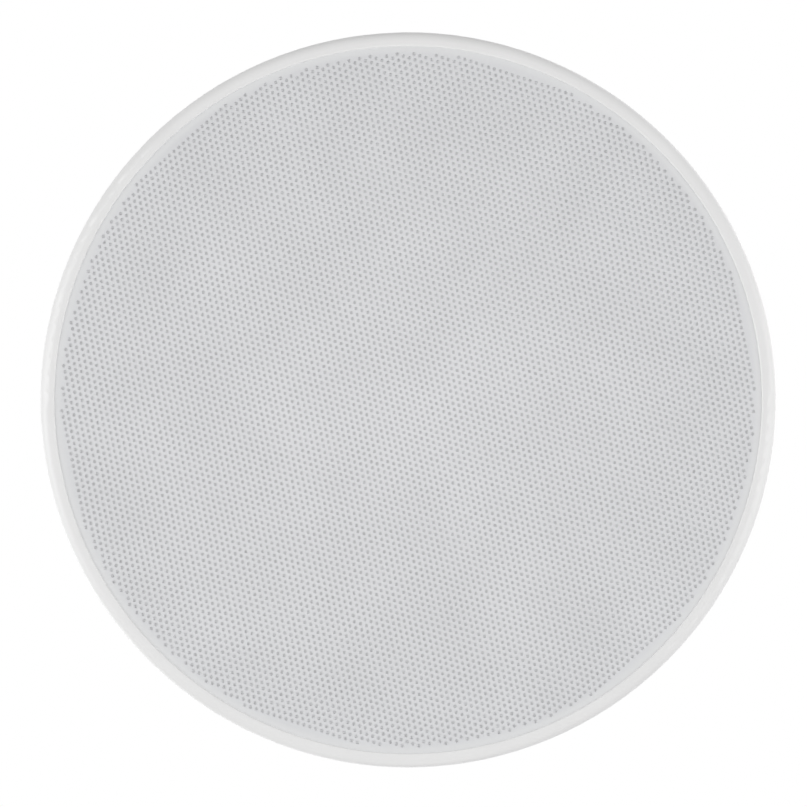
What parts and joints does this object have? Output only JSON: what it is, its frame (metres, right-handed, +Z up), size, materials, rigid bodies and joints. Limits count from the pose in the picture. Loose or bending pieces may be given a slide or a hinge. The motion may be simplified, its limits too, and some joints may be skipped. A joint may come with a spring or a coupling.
{
  "type": "in-ceiling speaker",
  "caption": "Round in-ceiling loudspeaker: slim bezel, magnetic perforated grille, woofer with a pivoting tweeter, crossover, push terminals and swing clamps for the ceiling board.",
  "frame": {"origin": "centre of the round collar, in the plane of the ceiling's lower face where the flange seats", "axes": "+Z up into the ceiling void along the collar's axis, the grille faces -Z"},
  "size_m": [0.236, 0.236, 0.0782],
  "materials": {
    "white_abs": "satin moulded",
    "grille_paint": "powder coated",
    "scrim_cloth": "thin non-woven",
    "magnet_nickel": "nickel plated",
    "zinc_steel": "zinc plated",
    "nut_brass": "turned",
    "arm_nylon": "moulded",
    "basket_paint": "black powder coat",
    "surround_rubber": "matte",
    "cone_poly": "fine satin",
    "spider_cloth": "resin dipped cloth",
    "former_foil": "plain",
    "copper_wire": "enamelled",
    "plate_steel": "zinc plated",
    "ferrite": "ground",
    "tag_board": "phenolic paper",
    "tag_metal": "tinned",
    "black_abs": "moulded",
    "dome_silk": "coated silk",
    "board_laminate": "solder mask",
    "can_sleeve": "shrink sleeve",
    "film_box": "epoxy dipped",
    "resistor_cement": "cement",
    "lever_red": "moulded",
    "lever_black": "moulded"
  },
  "bodies": {
    "speaker": {"frame": "white_abs", "grille_magnets": "magnet_nickel", "woofer_basket": "basket_paint", "woofer_surround": "surround_rubber", "woofer_spider": "spider_cloth", "front_plate": "plate_steel", "ferrite_magnet": "ferrite", "pole_yoke": "plate_steel", "woofer_tag_strip": "tag_board", "woofer_tags": "tag_metal", "tweeter_bridge": "black_abs", "swivel_retainer": "black_abs", "crossover_board": "board_laminate", "air_core_coil": "copper_wire", "drum_core": "ferrite", "drum_winding": "copper_wire", "electrolytic_capacitor": "can_sleeve", "film_capacitor": "film_box", "resistor": "resistor_cement", "terminal_block": "black_abs", "woofer_screws": "zinc_steel", "bridge_screws": "zinc_steel", "board_screws": "zinc_steel", "terminal_screws": "zinc_steel"},
    "cone": {"woofer_cone": "cone_poly", "woofer_dust_cap": "cone_poly", "voice_coil_former": "former_foil", "voice_coil_winding": "copper_wire"},
    "grille": {"grille": "grille_paint", "grille_scrim": "scrim_cloth"},
    "swivel": {"swivel_ring": "black_abs"},
    "tweeter": {"tweeter_cup": "black_abs", "tweeter_faceplate": "black_abs", "tweeter_dome": "dome_silk", "tweeter_coil": "copper_wire", "tweeter_pole": "plate_steel", "tweeter_magnet": "magnet_nickel", "tweeter_yoke": "plate_steel"},
    "lever_red": {"terminal_lever_red": "lever_red"},
    "lever_black": {"terminal_lever_black": "lever_black"},
    "screw_1": {"clamp_screw_1": "zinc_steel"},
    "nut_1": {"clamp_nut_1": "nut_brass"},
    "arm_1": {"clamp_arm_1": "arm_nylon"},
    "screw_2": {"clamp_screw_2": "zinc_steel"},
    "nut_2": {"clamp_nut_2": "nut_brass"},
    "arm_2": {"clamp_arm_2": "arm_nylon"},
    "screw_3": {"clamp_screw_3": "zinc_steel"},
    "nut_3": {"clamp_nut_3": "nut_brass"},
    "arm_3": {"clamp_arm_3": "arm_nylon"},
    "screw_4": {"clamp_screw_4": "zinc_steel"},
    "nut_4": {"clamp_nut_4": "nut_brass"},
    "arm_4": {"clamp_arm_4": "arm_nylon"}
  },
  "joints": [
    {"name": "cone_travel", "type": "slide", "parent": "speaker", "child": "cone", "axis": [0, 0, 1], "range_m": [-0.004, 0.004], "stiffness_N_per_m": 960, "deforming": ["woofer_surround", "woofer_spider"]},
    {"name": "grille_pull", "type": "slide", "parent": "speaker", "child": "grille", "axis": [0, 0, -1], "range_m": [0, 0.06]},
    {"name": "tweeter_turn", "type": "hinge", "parent": "speaker", "child": "swivel", "pos_m": [0, 0, 0.00631], "axis": [0, 0, 1], "range_deg": [-180, 180]},
    {"name": "tweeter_tilt", "type": "hinge", "parent": "swivel", "child": "tweeter", "pos_m": [0, 0, 0.00631], "axis": [1, 0, 0], "range_deg": [-15, 15]},
    {"name": "red_lever_press", "type": "slide", "parent": "speaker", "child": "lever_red", "axis": [0, 0, -1], "range_m": [0, 0.003], "stiffness_N_per_m": 900},
    {"name": "black_lever_press", "type": "slide", "parent": "speaker", "child": "lever_black", "axis": [0, 0, -1], "range_m": [0, 0.003], "stiffness_N_per_m": 900},
    {"name": "screw_turn_1", "type": "hinge", "parent": "speaker", "child": "screw_1", "pos_m": [0.09456, 0.00911, 0.03], "axis": [0, 0, 1], "range_deg": [0, 4320]},
    {"name": "nut_climb_1", "type": "slide", "parent": "speaker", "child": "nut_1", "axis": [0, 0, -1], "range_m": [0, 0.024]},
    {"name": "arm_swing_1", "type": "hinge", "parent": "nut_1", "child": "arm_1", "pos_m": [0.09456, 0.00911, 0.03], "axis": [0, 0, 1], "range_deg": [0, 98]},
    {"name": "screw_turn_2", "type": "hinge", "parent": "speaker", "child": "screw_2", "pos_m": [-0.00911, 0.09456, 0.03], "axis": [0, 0, 1], "range_deg": [0, 4320]},
    {"name": "nut_climb_2", "type": "slide", "parent": "speaker", "child": "nut_2", "axis": [0, 0, -1], "range_m": [0, 0.024]},
    {"name": "arm_swing_2", "type": "hinge", "parent": "nut_2", "child": "arm_2", "pos_m": [-0.00911, 0.09456, 0.03], "axis": [0, 0, 1], "range_deg": [0, 98]},
    {"name": "screw_turn_3", "type": "hinge", "parent": "speaker", "child": "screw_3", "pos_m": [-0.09456, -0.00911, 0.03], "axis": [0, 0, 1], "range_deg": [0, 4320]},
    {"name": "nut_climb_3", "type": "slide", "parent": "speaker", "child": "nut_3", "axis": [0, 0, -1], "range_m": [0, 0.024]},
    {"name": "arm_swing_3", "type": "hinge", "parent": "nut_3", "child": "arm_3", "pos_m": [-0.09456, -0.00911, 0.03], "axis": [0, 0, 1], "range_deg": [0, 98]},
    {"name": "screw_turn_4", "type": "hinge", "parent": "speaker", "child": "screw_4", "pos_m": [0.00911, -0.09456, 0.03], "axis": [0, 0, 1], "range_deg": [0, 4320]},
    {"name": "nut_climb_4", "type": "slide", "parent": "speaker", "child": "nut_4", "axis": [0, 0, -1], "range_m": [0, 0.024]},
    {"name": "arm_swing_4", "type": "hinge", "parent": "nut_4", "child": "arm_4", "pos_m": [0.00911, -0.09456, 0.03], "axis": [0, 0, 1], "range_deg": [0, 98]}
  ],
  "couplings": [
    {"joint": "screw_turn_1", "follows": "nut_climb_1", "rad_per_m": 3141.6},
    {"joint": "screw_turn_2", "follows": "nut_climb_2", "rad_per_m": 3141.6},
    {"joint": "screw_turn_3", "follows": "nut_climb_3", "rad_per_m": 3141.6},
    {"joint": "screw_turn_4", "follows": "nut_climb_4", "rad_per_m": 3141.6}
  ]
}
